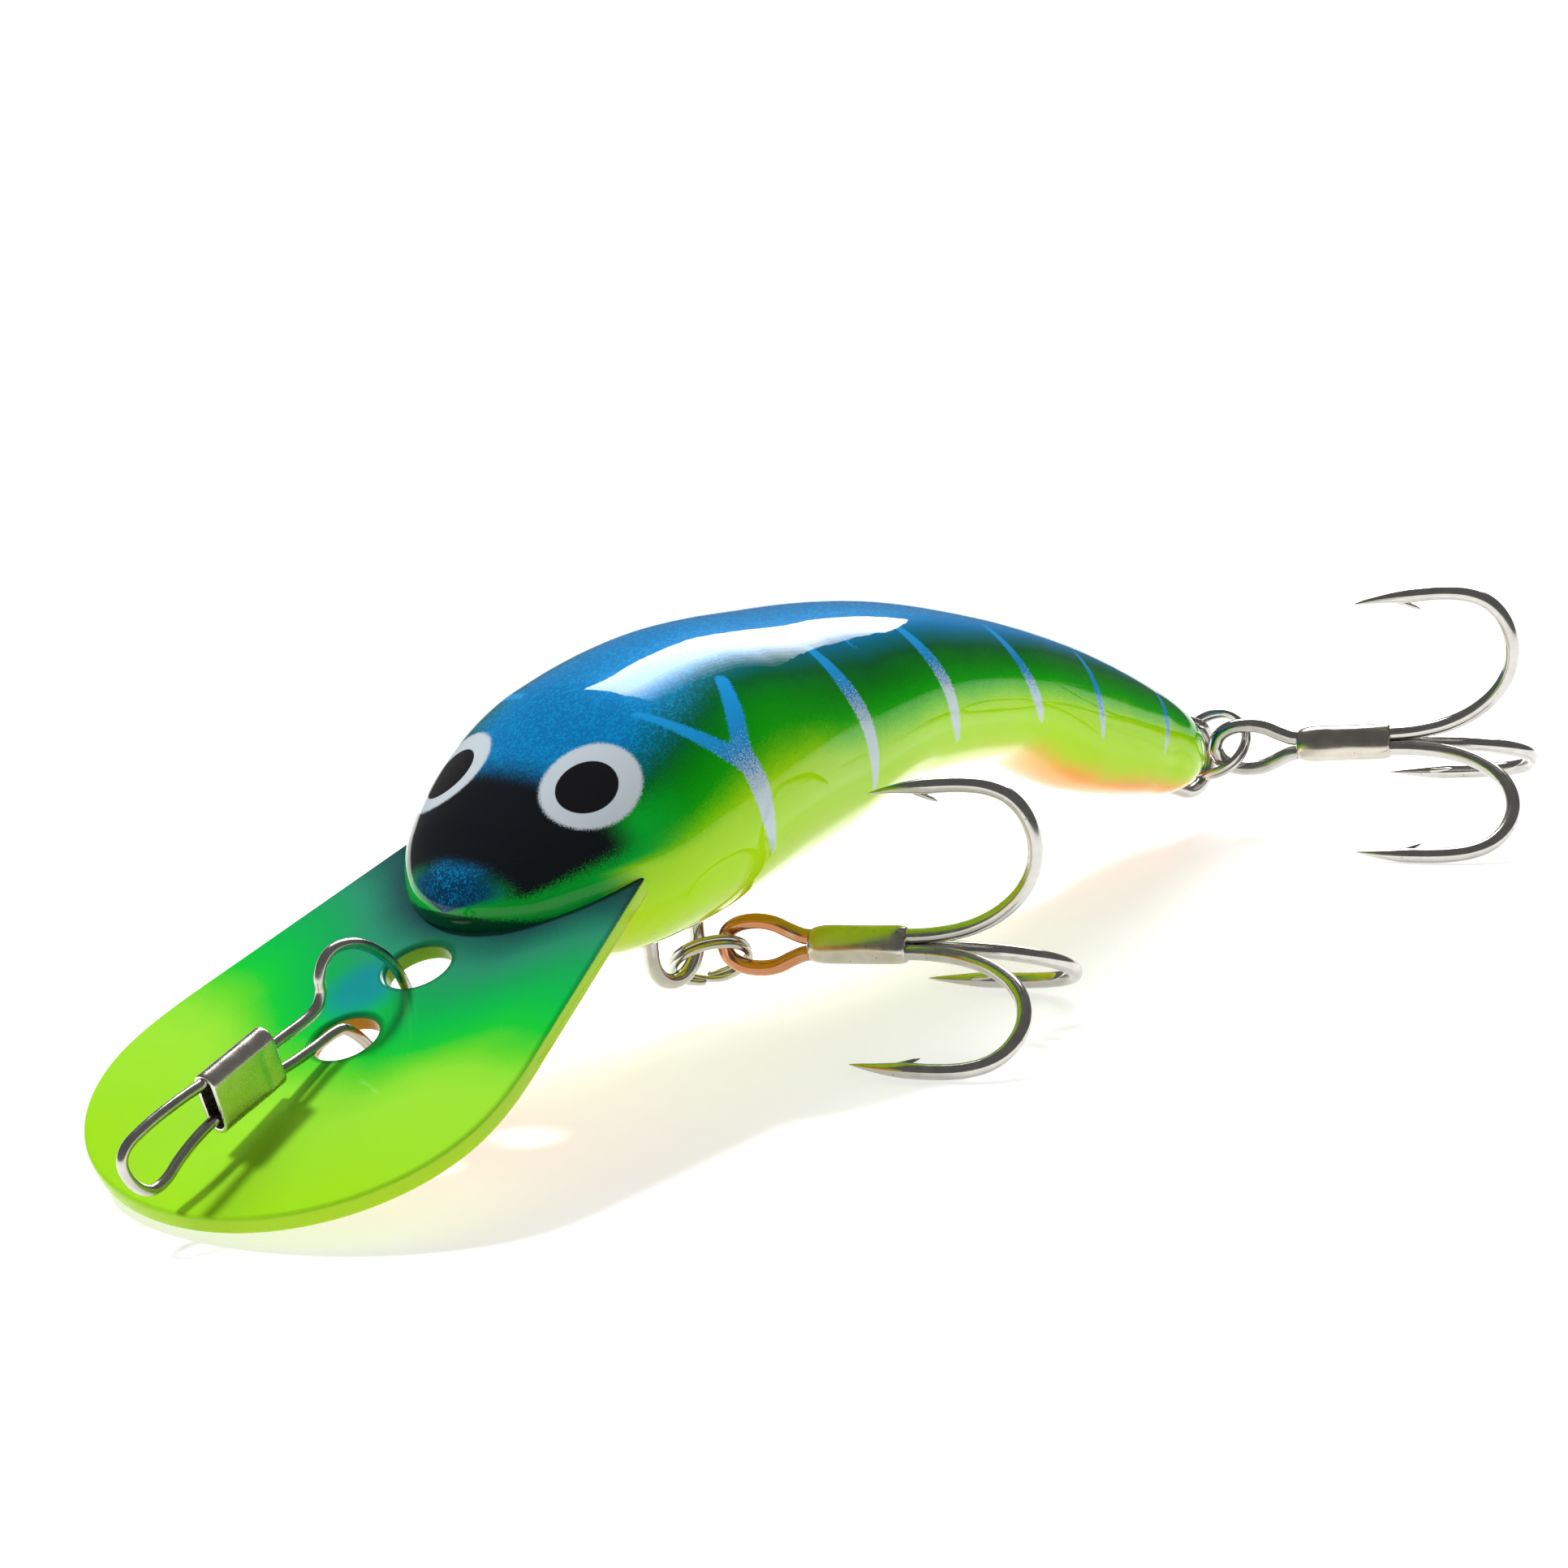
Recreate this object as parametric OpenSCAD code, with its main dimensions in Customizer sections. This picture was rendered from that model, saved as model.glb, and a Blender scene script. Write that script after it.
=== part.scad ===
// Diving crankbait lure: hollow two-half body, long diving bib with two tow
// holes, wire line link, two hook hangers, two split rings and two treble hooks.
// Millimetres, +X towards the tail, +Y towards the lure's right flank, +Z up.
// The origin is the middle of the line link's front loop.

/* [Body] */
// Wall thickness of the moulded body
wall = 1.6; // [1.4:0.1:1.8]
// Free gap round everything that is seated in the body
seat_gap = 0.04; // [0.03:0.01:0.06]

/* [Bib] */
// Thickness of the bib plate
bib_t = 1.5; // [1.3:0.1:1.7]
// Radius of each tow hole
tow_r = 2.5; // [2.3:0.1:2.6]
// Distance between the two tow holes
tow_pitch = 8.4; // [8.2:0.1:8.6]

/* [Metalwork] */
// Wire radius of the hook hangers
hanger_r = 0.6; // [0.55:0.05:0.6]
// Wire radius of the treble hooks
hook_r = 0.6; // [0.5:0.05:0.6]
// Wire radius of the line link
link_r = 0.42; // [0.35:0.01:0.45]
// Wire radius of each coil of the split rings
ring_r = 0.29; // [0.25:0.01:0.3]

/* [Hidden] */
$fn = 64;
e = 0.01;

// where the front tow hole's centre, on the bib's top face, sits in the row frame
home = [19.65, 0, 3.0];
bib_tilt = 21.4;

// ---------------------------------------------------------------- body shape
nose_x = 11; tail_x = 98.7; nose_z = 6.1; tail_z = -5.4;
kx = [0, .02, .06, .12, .2, .3, .42, .55, .68, .8, .9, .96, 1];
k_top  = [22, 22, 27.5, 33, 38, 39, 37.5, 36, 33.5, 31, 28.5, 27.5, 27.5];
k_bot  = [17, 17, 16.5, 15, 11, 5.5, 0, -7, -8, 0.5, 6, 10, 10];
k_half = [36.5, 36.5, 37, 36.5, 33, 27.5, 21.5, 18, 16, 16, 17.5, 21, 21];
rise = 0.06;

function seg(t, i = 0) = (i >= len(kx) - 2 || t <= kx[i + 1]) ? i : seg(t, i + 1);
function dk(k, i) = (k[i + 1] - k[i]) / (kx[i + 1] - kx[i]);
function slope(k, i) =
    (i == 0 || i == len(kx) - 1) ? 0 :
    let (a = dk(k, i - 1), b = dk(k, i), h0 = kx[i] - kx[i - 1], h1 = kx[i + 1] - kx[i])
    a * b <= 0 ? 0 : 3 * (h0 + h1) / ((2 * h1 + h0) / a + (h1 + 2 * h0) / b);
function smooth(k, t) =
    let (i = seg(t), h = kx[i + 1] - kx[i], u = (t - kx[i]) / h,
         m0 = slope(k, i) * h, m1 = slope(k, i + 1) * h)
    (2*u*u*u - 3*u*u + 1) * k[i] + (u*u*u - 2*u*u + u) * m0
    + (3*u*u - 2*u*u*u) * k[i + 1] + (u*u*u - u*u) * m1;
function ends(t) = sqrt(max(0, t * (1 - t)));
function b_x(t) = nose_x + (tail_x - nose_x) * t;
function b_mid(t) = nose_z + (tail_z - nose_z) * t;
function b_top(t) = b_mid(t) + smooth(k_top, t) * ends(t);
function b_bot(t) = b_mid(t) - smooth(k_bot, t) * ends(t);
function b_half(t) = smooth(k_half, t) * ends(t);
function b_wide(t) = (b_top(t) + b_bot(t)) / 2 + rise * (b_top(t) - b_bot(t)) / 2;
function b_pow(t) = let (x = b_x(t)) x < 22 ? 2.15 : x < 40 ? 2.15 - 0.15 * (x - 22) / 18 : 2.0 + 0.1 * (x - 40) / 60;
function pw(v, p) = pow(abs(v), 2 / p);
function ring_pt(x, top, bot, half, wide, p, a) =
    [x, -half * pw(cos(a), p),
     a >= 0 ? wide + (top - wide) * pw(sin(a), p) : wide - (wide - bot) * pw(sin(a), p)];

n_len = 44; n_arc = 14;
function tt(i, n) = (1 - cos(180 * i / n)) / 2;
function outer_ring(i, n, m) = let (t = tt(i, n))
    [for (j = [0:m]) ring_pt(b_x(t), b_top(t), b_bot(t), b_half(t), b_wide(t), b_pow(t), -90 + 180 * j / m)];
cav_a = 14.5; cav_b = 88;
function cav_f(t) = sqrt(max(0, 1 - pow(2 * t - 1, 8)));
function inner_ring(i, n, m) =
    let (t = tt(i, n), x = cav_a + (cav_b - cav_a) * t, u = (x - nose_x) / (tail_x - nose_x),
         tp = b_top(u) - wall * 1.1, bt = b_bot(u) + wall * 1.1, hf = b_half(u) - wall,
         wd = (tp + bt) / 2, f = cav_f(t))
    [for (j = [0:m]) ring_pt(x, wd + (tp - wd) * f, wd - (wd - bt) * f, hf * f, wd, b_pow(u), -90 + 180 * j / m)];
function flat1(l) = [for (a = l) for (b = a) b];
function skin(n, m, inner) = concat(
    [inner ? inner_ring(0, n, m)[0] : outer_ring(0, n, m)[0]],
    flat1([for (i = [1:n - 1]) inner ? inner_ring(i, n, m) : outer_ring(i, n, m)]),
    [inner ? inner_ring(n, n, m)[0] : outer_ring(n, n, m)[0]]);
function id(i, j, n, m) = i == 0 ? 0 : i == n ? 1 + (n - 1) * (m + 1) : 1 + (i - 1) * (m + 1) + j;
function quad(a, b, c, d) = a == b ? [[a, c, d]] : c == d ? [[a, b, c]] : [[a, b, c], [a, c, d]];

// one half of the hollow body, y <= 0
module half_shell() {
    n = n_len; m = n_arc; off = 2 + (n - 1) * (m + 1);
    pts = concat(skin(n, m, false), skin(n, m, true));
    faces = flat1(concat(
        [for (i = [0:n - 1]) for (j = [0:m - 1]) quad(id(i, j, n, m), id(i, j + 1, n, m), id(i + 1, j + 1, n, m), id(i + 1, j, n, m))],
        [for (i = [0:n - 1]) for (j = [0:m - 1]) [for (q = quad(id(i, j, n, m), id(i, j + 1, n, m), id(i + 1, j + 1, n, m), id(i + 1, j, n, m))) [q[2] + off, q[1] + off, q[0] + off]]],
        [for (i = [0:n - 1]) [[id(i, m, n, m), id(i, m, n, m) + off, id(i + 1, m, n, m) + off], [id(i, m, n, m), id(i + 1, m, n, m) + off, id(i + 1, m, n, m)]]],
        [for (i = [0:n - 1]) [[id(i, 0, n, m), id(i + 1, 0, n, m) + off, id(i, 0, n, m) + off], [id(i, 0, n, m), id(i + 1, 0, n, m), id(i + 1, 0, n, m) + off]]]));
    polyhedron(points = pts, faces = faces, convexity = 6);
}

// -------------------------------------------------------------- bib outline
// s runs along the plate towards the nose, from the front tow hole
front_c = -5; front_a = 14.9; front_b = 17.6;
side_k = 0.265; corner_s = 22; tongue_s = 31; tongue_w = 7.5;
function side_w(s) = 17 - side_k * s;
function bib_w(s) = s <= front_c ? front_b * sqrt(max(0, 1 - pow((s - front_c) / front_a, 2)))
    : s < 2 ? let (u = (s - front_c) / (2 - front_c), h = 2 - front_c)
        (2*u*u*u - 3*u*u + 1) * front_b + (3*u*u - 2*u*u*u) * side_w(2) - (u*u*u - u*u) * side_k * h
    : side_w(s);
bib_s = concat([for (i = [0:20]) front_c - front_a * cos(90 * i / 20)], [-3, -1, 0.5, 2, corner_s]);
function bib_half_pts(g) = concat([for (s = bib_s) [s, bib_w(s) + (s > -19 ? g : 0)]],
    [[corner_s + g, tongue_w + g], [tongue_s + g, tongue_w + g]]);
module bib_outline(g) {
    h = bib_half_pts(g);
    polygon(concat(h, [for (i = [len(h) - 1:-1:1]) [h[i][0], -h[i][1]]]));
}
module on_bib() { rotate([0, -bib_tilt, 0]) children(); }
peg_s = 27; peg_y = 4.5; peg_r = 1.2;
module bib() color([0.2, 0.62, 0.45]) translate(home) on_bib()
    difference() {
        translate([0, 0, -bib_t]) linear_extrude(height = bib_t) bib_outline(0);
        translate([0, 0, -bib_t - 1]) cylinder(r = tow_r, h = bib_t + 2);
        translate([tow_pitch, 0, -bib_t - 1]) cylinder(r = tow_r, h = bib_t + 2);
        for (s = [-1, 1]) translate([peg_s, s * peg_y, -bib_t - 1]) cylinder(r = peg_r + seat_gap, h = bib_t + 2);
    }

// --------------------------------------------- oblong wire loops (hangers)
module loop_wire(r, big, len) {
    rotate([90, 0, 0]) rotate_extrude(angle = 180) translate([big, 0]) circle(r = r);
    for (s = [-1, 1]) translate([s * big, 0, -len]) cylinder(r = r, h = len);
    translate([0, 0, -len]) rotate([90, 180, 0]) rotate_extrude(angle = 180) translate([big, 0]) circle(r = r);
}
belly_c = [34.9, 0, -3.3]; belly_big = 2.6; belly_len = 7.5;
tail_c = [98.6, 0, -5.3]; tail_big = 2.75; tail_len = 8.5;
module belly_loop(r) translate(belly_c) rotate([0, 180, 0]) loop_wire(r, belly_big, belly_len);
module tail_loop(r) translate(tail_c) rotate([0, 90 + 25.5, 0]) loop_wire(r, tail_big, tail_len);
module belly_hanger() color([0.8, 0.8, 0.82]) translate(home) belly_loop(hanger_r);
module tail_hanger() color([0.8, 0.8, 0.82]) translate(home) tail_loop(hanger_r);

// ------------------------------------------------------ inside of the body
slug_x = 44; slug_z = 5.9; slug_r = 3; slug_half = 3.9;
ball_r = 2; ball_z = 10; cham_a = 52; cham_b = 64; ball_a = 54.1; ball_b = 61.9;
post_at = [[48, 14, 8.4], [70, 9, 6.4], [24, 13, 7.5]];
module cyl_y(x, z, r, y0, y1) translate([x, y0, z]) rotate([-90, 0, 0]) cylinder(r = r, h = y1 - y0);
module inner_common() {
    translate([slug_x - 3.9, -4.8, 1.9]) cube([7.8, 4.8, 7.9]);
    translate([cham_a - 1.2, -6.6, ball_z - 3.1]) cube([cham_b - cham_a + 2.4, 6.6, 6.2]);
    cyl_y(belly_c[0], belly_c[2] + belly_len, 1.9, -7.7, 0);
    on_bib() translate([23.2, -10, -bib_t - 2.6]) cube([7.4, 10, 2.6 - seat_gap]);
    on_bib() translate([23.2, -9.2, seat_gap]) cube([7.4, 9.2, 2.2]);
}
module cuts_common() {
    on_bib() translate([0, 0, -bib_t - seat_gap]) linear_extrude(height = bib_t + 2 * seat_gap) bib_outline(seat_gap);
    belly_loop(hanger_r + 0.02);
    tail_loop(hanger_r + 0.02);
    cyl_y(slug_x, slug_z, slug_r + seat_gap, -slug_half - seat_gap, 1);
    translate([cham_a, 0, ball_z]) rotate([0, 90, 0]) cylinder(r = ball_r + 0.12, h = cham_b - cham_a);
}
module peg(side) on_bib() translate([peg_s, side * peg_y, -bib_t - 1.2]) cylinder(r = peg_r, h = bib_t + 2.4);
module left_shell() color([0.15, 0.7, 0.2]) translate(home) {
    difference() {
        union() {
            half_shell();
            inner_common();
            for (p = post_at) cyl_y(p[0], p[1], 2.2, -p[2], 0);
        }
        cuts_common();
    }
    for (p = post_at) cyl_y(p[0], p[1], 1.2, -1, 2.8);
    peg(-1);
}
module right_shell() color([0.15, 0.6, 0.25]) translate(home) {
    difference() {
        union() {
            mirror([0, 1, 0]) half_shell();
            mirror([0, 1, 0]) inner_common();
            for (p = post_at) cyl_y(p[0], p[1], 2.2, 0, p[2]);
        }
        mirror([0, 1, 0]) cuts_common();
        for (p = post_at) cyl_y(p[0], p[1], 1.2 + seat_gap, -1, 3);
    }
    peg(1);
}
module ballast() color([0.45, 0.45, 0.48]) translate(home) cyl_y(slug_x, slug_z, slug_r, -slug_half, slug_half);
module rattle_ball_front() color([0.75, 0.75, 0.78]) translate(home + [ball_a, 0, ball_z]) sphere(r = ball_r);
module rattle_ball_rear() color([0.75, 0.75, 0.78]) translate(home + [ball_b, 0, ball_z]) sphere(r = ball_r);

// ------------------------------------------------------------- split rings
ring_big = 2.93;
module split_ring() for (s = [-1, 1]) translate([0, 0, s * (ring_r - 0.01)]) rotate_extrude() translate([ring_big, 0]) circle(r = ring_r);
// rotate so that +Z points along a direction given by azimuth and elevation
module aim(az, el) rotate([0, 90 - el, az]) children();
belly_ring_c = [38.05, -0.67, -5.15]; belly_ring_az = 53.4; belly_ring_el = 45.6;
tail_ring_c = [101.04, -0.58, -4.62]; tail_ring_az = 185.7; tail_ring_el = 46.6;
module belly_split_ring() color([0.82, 0.82, 0.84]) translate(home + belly_ring_c) aim(belly_ring_az, belly_ring_el) split_ring();
module tail_split_ring() color([0.82, 0.82, 0.84]) translate(home + tail_ring_c) aim(tail_ring_az, tail_ring_el) split_ring();

// -------------------------------------------------------- swept round wire
function unit(v) = v / norm(v);
function mid_dir(p, i) = let (n = len(p)) i == 0 ? unit(p[1] - p[0]) : i == n - 1 ? unit(p[n - 1] - p[n - 2])
    : unit(unit(p[i + 1] - p[i]) + unit(p[i] - p[i - 1]));
function carry(u, d) = unit(u - (u * d) * d);
function sides(p, u, i = 0) = i >= len(p) ? [] : let (w = carry(u, mid_dir(p, i))) concat([w], sides(p, w, i + 1));
module sweep_wire(p, r, up, n = 10) {
    us = sides(p, up);
    c = len(p);
    pts = [for (i = [0:c - 1]) let (d = mid_dir(p, i), u = us[i], v = cross(d, u)) for (j = [0:n - 1])
        p[i] + r[i] * (cos(360 * j / n) * u + sin(360 * j / n) * v)];
    faces = concat([[for (j = [n - 1:-1:0]) j]], [[for (j = [0:n - 1]) (c - 1) * n + j]],
        [for (i = [0:c - 2]) for (j = [0:n - 1]) [i * n + j, i * n + (j + 1) % n, (i + 1) * n + j]],
        [for (i = [0:c - 2]) for (j = [0:n - 1]) [i * n + (j + 1) % n, (i + 1) * n + (j + 1) % n, (i + 1) * n + j]]);
    polyhedron(points = pts, faces = [for (f = faces) [for (k = [len(f) - 1:-1:0]) f[k]]], convexity = 8);
}
// smooth curve through hand-set knots
function cr(a, b, c, d, t) = 0.5 * ((2 * b) + (c - a) * t + (2 * a - 5 * b + 4 * c - d) * t * t + (3 * b - a - 3 * c + d) * t * t * t);
function curve(k, n) = let (m = len(k)) concat(
    flat1([for (i = [0:m - 2]) [for (j = [0:n - 1]) cr(k[max(0, i - 1)], k[i], k[i + 1], k[min(m - 1, i + 2)], j / n)]]), [k[m - 1]]);

// ------------------------------------------------------------ treble hooks
// axis along +Z from the eye to the bend, z = 0 in the plane of the points,
// every arm given as [radius from the axis, height]
arm = [[0.7, -1.5], [0.7, 2.5], [0.92, 4.9], [1.45, 7.1], [2.45, 9.2], [3.95, 11], [5.75, 12.1], [7.85, 12.5],
       [9.9, 12.05], [11.4, 10.95], [12.2, 9.3], [12.45, 7.2], [12.35, 4.5]];
point_knots = [[12.15, 2.2], [11.8, 0]];
eye_knots = [[0.62, -5.4], [0.7, -6.2], [1.1, -7.2], [1.65, -8.4], [1.85, -9.7], [1.65, -11.1], [1, -12.1], [0, -12.5]];
shank_r = 1.5; shank_a = -5.7; shank_b = 2.1;
function arm_pt(q, a) = [q[0] * cos(a), q[0] * sin(a), q[1]];
function arm_path(a) = concat([for (q = curve(arm, 2)) arm_pt(q, a)], [for (q = point_knots) arm_pt(q, a)]);
function arm_rad() = concat([for (i = [0:2 * (len(arm) - 1)]) hook_r], [hook_r * 0.62, 0.06]);
module barb(a) rotate([0, 0, a]) translate([11.7, 0.18, 0]) rotate([90, 0, 0])
    linear_extrude(height = 0.36) polygon([[0.35, 3.2], [-0.55, 5.3], [0.45, 4.9]]);
module arm_wire(a) {
    sweep_wire(arm_path(a), arm_rad(), [cos(a + 90), sin(a + 90), 0]);
    barb(a);
}
function eye_path() = let (h = curve(eye_knots, 2)) concat(
    [[0.62, 0, -4.6]], [for (q = h) [q[0], 0, q[1]]], [for (i = [len(h) - 2:-1:0]) [-h[i][0], 0, h[i][1]]], [[-0.62, 0, -4.6]]);
// two arms and the eye from one wire, brazed shank round the third arm's wire
module treble_double() {
    difference() {
        union() {
            translate([0, 0, shank_a]) cylinder(r = shank_r, h = shank_b - shank_a);
            for (a = [120, 240]) arm_wire(a);
            sweep_wire(eye_path(), [for (q = eye_path()) hook_r], [0, 1, 0]);
        }
        translate([0.7, 0, -1.5]) cylinder(r = hook_r + 0.01, h = 5);
        translate([0.7, 0, -1.5 - e]) cylinder(r = hook_r + 0.01, h = 1);
    }
}
module treble_single() arm_wire(0);
// hook pose: azimuth and climb of the axis, and where the point plane's centre is
belly_hook_c = [43.48, -13.12, -3.67]; belly_hook_az = -67.3; belly_hook_el = 1.2;
tail_hook_c = [106.15, -12.37, -4.34]; tail_hook_az = -62.5; tail_hook_el = 1.6;
module lay(az, el, roll) rotate([0, 90 - el, az]) rotate([0, 0, 180 + roll]) children();
module belly_pose() translate(home + belly_hook_c) lay(belly_hook_az, belly_hook_el, 0) children();
module tail_pose() translate(home + tail_hook_c) lay(tail_hook_az, tail_hook_el, 2) children();
module belly_treble_double() color([0.7, 0.7, 0.72]) belly_pose() treble_double();
module belly_treble_single() color([0.6, 0.6, 0.62]) belly_pose() treble_single();
module tail_treble_double() color([0.7, 0.7, 0.72]) tail_pose() treble_double();
module tail_treble_single() color([0.6, 0.6, 0.62]) tail_pose() treble_single();

// --------------------------------------------------------------- line link
// one bent wire in the plane y = 0, both ends crimped in the sleeve; [s, h] on the bib
link_knots = [[-8.5, 4.6], [-7, 4.1], [-5.2, 3.85], [-2.6, 3.5], [-1.2, 3.6], [-0.4, 4.3], [0, 5.3], [0.9, 6.1], [2.2, 6.25],
              [3.8, 5.5], [5.1, 4.2], [6.1, 2.5], [6.6, 0.8], [6.7, -1], [6.5, -2.4], [5.6, -3.2], [4.2, -3.4], [2.8, -3.2],
              [1.8, -2.4], [1.3, -1.3], [0.8, -0.3], [0.1, 0.6], [-0.9, 0.95], [-2.4, 1.15], [-4.8, 1.55], [-6.2, 1.85], [-8.5, 2.2],
              [-11, 2.55], [-13.4, 2.85], [-15.4, 2.8], [-17.3, 2.5], [-18.8, 2.1], [-20.2, 2.25], [-21.2, 3.2], [-21.7, 4.6],
              [-21.6, 5.8], [-20.7, 6.5], [-19, 6.6], [-16.5, 6.4], [-13.6, 5.95], [-11.5, 5.45], [-10, 5.05]];
sleeve_at = [-9.75, 3.75]; sleeve_len = 6.4; sleeve_h = 4.8; sleeve_w = 2; sleeve_wall = 0.35; sleeve_lean = 5;
module link_wire() color([0.6, 0.6, 0.62]) translate(home) on_bib()
    sweep_wire([for (q = curve(link_knots, 2)) [q[0], 0, q[1]]], [for (q = curve(link_knots, 2)) link_r], [0, 1, 0], 8);
module stadium(h, w) union() {
    square([w, h - w], center = true);
    for (s = [-1, 1]) translate([0, s * (h - w) / 2]) circle(r = w / 2);
}
module link_sleeve() color([0.5, 0.48, 0.45]) translate(home) on_bib()
    translate([sleeve_at[0], 0, sleeve_at[1]]) rotate([0, sleeve_lean, 0]) difference() {
        rotate([90, 0, 90]) translate([0, 0, -sleeve_len / 2]) linear_extrude(height = sleeve_len) difference() {
            stadium(sleeve_h, sleeve_w);
            stadium(sleeve_h - 2 * sleeve_wall, sleeve_w - 2 * sleeve_wall);
        }
        translate([0.3, -sleeve_w / 2 + 0.12, -1.2]) rotate([90, 0, 0]) cylinder(r = 0.6, h = 1);
    }

left_shell();
right_shell();
bib();
belly_hanger();
tail_hanger();
ballast();
rattle_ball_front();
rattle_ball_rear();
belly_split_ring();
belly_treble_double();
belly_treble_single();
tail_split_ring();
tail_treble_double();
tail_treble_single();
link_wire();
link_sleeve();
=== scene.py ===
import math

import bpy
import numpy as np
from mathutils import Matrix, Vector


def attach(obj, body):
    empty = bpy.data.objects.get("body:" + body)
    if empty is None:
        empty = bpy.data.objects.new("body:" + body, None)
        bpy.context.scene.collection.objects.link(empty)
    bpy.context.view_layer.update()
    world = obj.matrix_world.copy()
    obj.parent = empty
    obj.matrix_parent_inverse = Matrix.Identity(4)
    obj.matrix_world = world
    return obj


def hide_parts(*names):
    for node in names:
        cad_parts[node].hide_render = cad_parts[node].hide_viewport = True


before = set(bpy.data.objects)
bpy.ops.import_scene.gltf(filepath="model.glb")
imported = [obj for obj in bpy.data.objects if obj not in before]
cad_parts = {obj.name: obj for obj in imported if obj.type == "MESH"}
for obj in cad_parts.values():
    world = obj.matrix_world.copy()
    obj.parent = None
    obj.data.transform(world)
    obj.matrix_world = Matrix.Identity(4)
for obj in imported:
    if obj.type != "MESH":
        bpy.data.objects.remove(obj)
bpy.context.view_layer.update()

MM = 0.001
HOME = np.array([19.65, 0.0, 3.0])
TILT = math.radians(21.4)

# ------------------------------------------------------------------ camera
cam_data = bpy.data.cameras.new("camera")
cam_data.sensor_width = 36.0
cam_data.lens = 149.145
cam_data.clip_start = 0.01
cam_data.clip_end = 20.0
cam = bpy.data.objects.new("camera", cam_data)
bpy.context.scene.collection.objects.link(cam)
RIGHT = Vector((0.648705, -0.757477, -0.073554))
UP = Vector((0.254014, 0.124400, 0.959167))
BACK = Vector((-0.717397, -0.640900, 0.273108))
m = Matrix((RIGHT, UP, BACK)).transposed().to_4x4()
m.translation = Vector((-0.285646, -0.316129, 0.143509))
cam.matrix_world = m
bpy.context.scene.camera = cam


# ------------------------------------------------------------ mesh helpers
def new_mesh(name, verts, faces, smooth=True):
    me = bpy.data.meshes.new(name)
    me.from_pydata([tuple(v) for v in verts], [], faces)
    me.update()
    if smooth:
        me.polygons.foreach_set("use_smooth", [True] * len(me.polygons))
    ob = bpy.data.objects.new(name, me)
    bpy.context.scene.collection.objects.link(ob)
    return ob


def unit(v):
    return v / np.linalg.norm(v)


def rot_x(a):
    c, s = math.cos(a), math.sin(a)
    return np.array([[1, 0, 0], [0, c, -s], [0, s, c]])


def rot_y(a):
    c, s = math.cos(a), math.sin(a)
    return np.array([[c, 0, s], [0, 1, 0], [-s, 0, c]])


def rot_z(a):
    c, s = math.cos(a), math.sin(a)
    return np.array([[c, -s, 0], [s, c, 0], [0, 0, 1]])


def crom(knots, n):
    k = np.asarray(knots, float)
    out = []
    for i in range(len(k) - 1):
        a, b, c, d = k[max(0, i - 1)], k[i], k[i + 1], k[min(len(k) - 1, i + 2)]
        for j in range(n):
            t = j / n
            out.append(0.5 * (2 * b + (c - a) * t + (2 * a - 5 * b + 4 * c - d) * t * t + (3 * b - a - 3 * c + d) * t ** 3))
    out.append(k[-1])
    return np.array(out)


def tube(path, radii, up, n=20, flat=1.0, round_ends=True):
    """Round wire along a path: vertices and faces. flat scales the section across the carried direction."""
    p = np.asarray(path, float)
    r = np.asarray(radii, float) * np.ones(len(p))
    if round_ends:
        d0, d1 = unit(p[0] - p[1]), unit(p[-1] - p[-2])
        head = [(p[0] + d0 * r[0] * math.sin(a), r[0] * math.cos(a)) for a in np.radians([85, 60, 30])]
        tail = [(p[-1] + d1 * r[-1] * math.sin(a), r[-1] * math.cos(a)) for a in np.radians([30, 60, 85])]
        p = np.array([h[0] for h in head] + list(p) + [t[0] for t in tail])
        r = np.array([h[1] for h in head] + list(r) + [t[1] for t in tail])
    c = len(p)
    tang = np.zeros_like(p)
    tang[1:-1] = p[2:] - p[:-2]
    tang[0], tang[-1] = p[1] - p[0], p[-1] - p[-2]
    tang /= np.linalg.norm(tang, axis=1)[:, None]
    u = np.asarray(up, float)
    verts, faces = [], []
    for i in range(c):
        u = unit(u - (u @ tang[i]) * tang[i])
        v = np.cross(tang[i], u)
        for j in range(n):
            a = 2 * math.pi * j / n
            verts.append(p[i] + r[i] * (math.cos(a) * u * flat + math.sin(a) * v))
    for i in range(c - 1):
        for j in range(n):
            k = (j + 1) % n
            faces.append((i * n + j, i * n + k, (i + 1) * n + k, (i + 1) * n + j))
    faces.append(tuple(range(n - 1, -1, -1)))
    faces.append(tuple((c - 1) * n + j for j in range(n)))
    return np.array(verts), faces


def join(parts):
    verts, faces = [], []
    off = 0
    for v, f in parts:
        verts.append(np.asarray(v, float))
        faces += [tuple(i + off for i in q) for q in f]
        off += len(v)
    return np.concatenate(verts), faces


def place(verts, rotation, centre):
    """Local millimetres to the row frame in metres."""
    return (np.asarray(verts) @ rotation.T + np.asarray(centre) + HOME) * MM


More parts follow.
